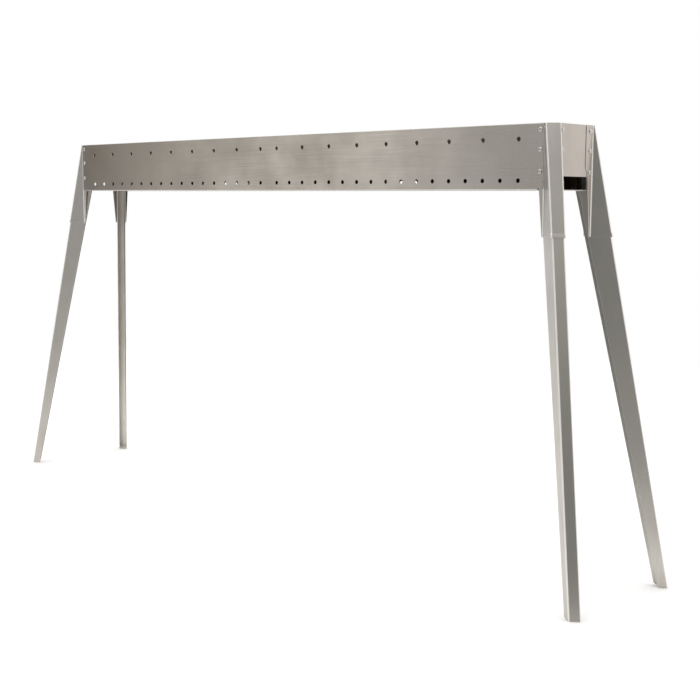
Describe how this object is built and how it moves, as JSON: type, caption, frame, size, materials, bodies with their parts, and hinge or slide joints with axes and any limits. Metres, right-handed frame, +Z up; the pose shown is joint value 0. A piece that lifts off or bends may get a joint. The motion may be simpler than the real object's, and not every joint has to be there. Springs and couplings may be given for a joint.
{
  "type": "skewer grill",
  "caption": "Long narrow stainless charcoal grill for skewers: a perforated trough with a lift-out grate, on plug-in channel legs.",
  "frame": {"origin": "centre of the footprint, on the ground under the feet", "axes": "+X along the trough, +Y across it, +Z up"},
  "size_m": [1.8212, 0.3054, 0.8586],
  "materials": {
    "trough_steel": "satin",
    "end_plate_steel": "satin",
    "socket_steel": "satin",
    "leg_steel": "satin",
    "rivet_steel": "polished",
    "grate_steel": "heat stained"
  },
  "bodies": {
    "trough": {"trough_body": "trough_steel", "end_plate_left": "end_plate_steel", "end_plate_right": "end_plate_steel", "socket_front_left": "socket_steel", "socket_front_right": "socket_steel", "socket_back_left": "socket_steel", "socket_back_right": "socket_steel", "rivet_front_left_1": "rivet_steel", "rivet_front_left_2": "rivet_steel", "rivet_front_left_3": "rivet_steel", "rivet_front_left_4": "rivet_steel", "rivet_front_left_5": "rivet_steel", "rivet_front_left_6": "rivet_steel", "rivet_front_right_1": "rivet_steel", "rivet_front_right_2": "rivet_steel", "rivet_front_right_3": "rivet_steel", "rivet_front_right_4": "rivet_steel", "rivet_front_right_5": "rivet_steel", "rivet_front_right_6": "rivet_steel", "rivet_back_left_1": "rivet_steel", "rivet_back_left_2": "rivet_steel", "rivet_back_left_3": "rivet_steel", "rivet_back_left_4": "rivet_steel", "rivet_back_left_5": "rivet_steel", "rivet_back_left_6": "rivet_steel", "rivet_back_right_1": "rivet_steel", "rivet_back_right_2": "rivet_steel", "rivet_back_right_3": "rivet_steel", "rivet_back_right_4": "rivet_steel", "rivet_back_right_5": "rivet_steel", "rivet_back_right_6": "rivet_steel"},
    "leg_front_left": {"leg_front_left": "leg_steel"},
    "leg_front_right": {"leg_front_right": "leg_steel"},
    "leg_back_left": {"leg_back_left": "leg_steel"},
    "leg_back_right": {"leg_back_right": "leg_steel"},
    "grate": {"charcoal_grate": "grate_steel"}
  },
  "joints": [
    {"name": "leg_front_left_pull_out", "type": "slide", "parent": "trough", "child": "leg_front_left", "axis": [-0.158, -0.0995, -0.9824], "range_m": [0, 0.12]},
    {"name": "leg_front_right_pull_out", "type": "slide", "parent": "trough", "child": "leg_front_right", "axis": [0.158, -0.0995, -0.9824], "range_m": [0, 0.12]},
    {"name": "leg_back_left_pull_out", "type": "slide", "parent": "trough", "child": "leg_back_left", "axis": [-0.158, 0.0995, -0.9824], "range_m": [0, 0.12]},
    {"name": "leg_back_right_pull_out", "type": "slide", "parent": "trough", "child": "leg_back_right", "axis": [0.158, 0.0995, -0.9824], "range_m": [0, 0.12]},
    {"name": "grate_lift_out", "type": "slide", "parent": "trough", "child": "grate", "axis": [0, 0, 1], "range_m": [0, 0.15]}
  ]
}
